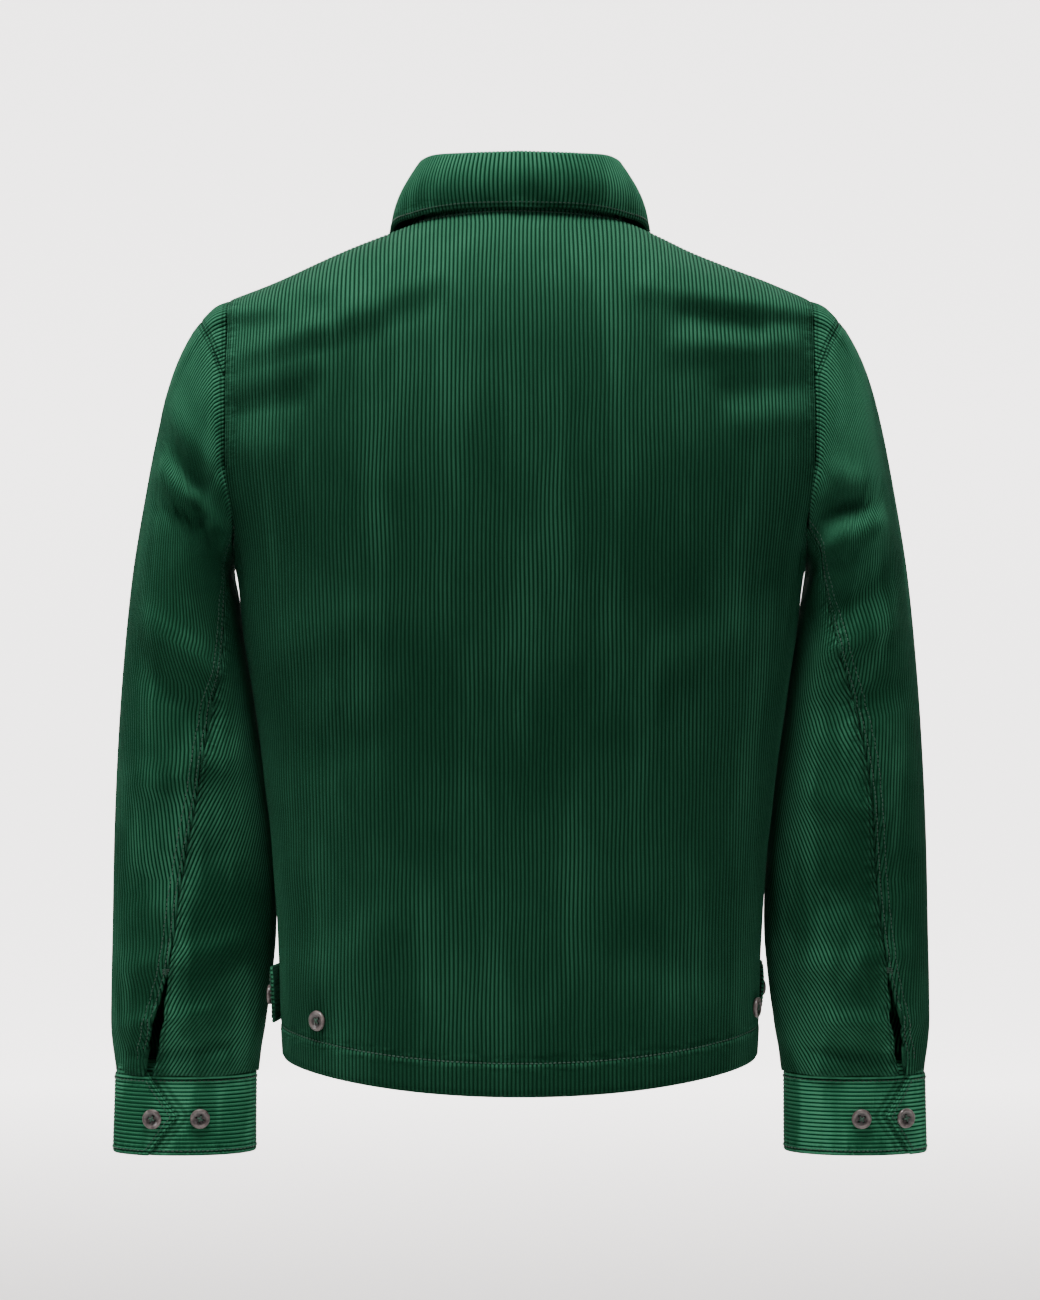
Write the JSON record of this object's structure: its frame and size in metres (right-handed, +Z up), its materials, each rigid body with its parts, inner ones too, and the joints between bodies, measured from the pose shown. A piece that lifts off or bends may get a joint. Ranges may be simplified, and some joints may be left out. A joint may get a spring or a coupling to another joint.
{
  "type": "corduroy jacket",
  "caption": "Worn, hollow corduroy jacket of shirt cut with a turned down collar, long sleeves with buttoned cuffs, hem tabs and a buttoned front.",
  "frame": {"origin": "middle of the neck, level with the tops of the shoulder seams, where the wearer's shoulders hold the jacket", "axes": "+Z up, the front faces -Y, the wearer's left is +X"},
  "size_m": [0.6208, 0.2513, 0.7443],
  "materials": {
    "corduroy": "ribbed cotton pile, matt with a soft sheen",
    "button": "polished horn look"
  },
  "bodies": {
    "root": {"back": "corduroy", "left_front": "corduroy", "right_front": "corduroy", "collar_stand": "corduroy", "collar_fall": "corduroy", "left_sleeve_head": "corduroy", "left_sleeve_top": "corduroy", "left_sleeve_under": "corduroy", "left_cuff": "corduroy", "left_hem_tab": "corduroy", "left_tab_button": "button", "left_cuff_button": "button", "left_cuff_spare_button": "button", "left_hem_button": "button", "right_sleeve_head": "corduroy", "right_sleeve_top": "corduroy", "right_sleeve_under": "corduroy", "right_cuff": "corduroy", "right_hem_tab": "corduroy", "right_tab_button": "button", "right_cuff_button": "button", "right_cuff_spare_button": "button", "right_hem_button": "button", "front_button_1": "button", "front_button_2": "button", "front_button_3": "button", "front_button_4": "button", "front_button_5": "button", "front_button_6": "button"}
  },
  "joints": []
}
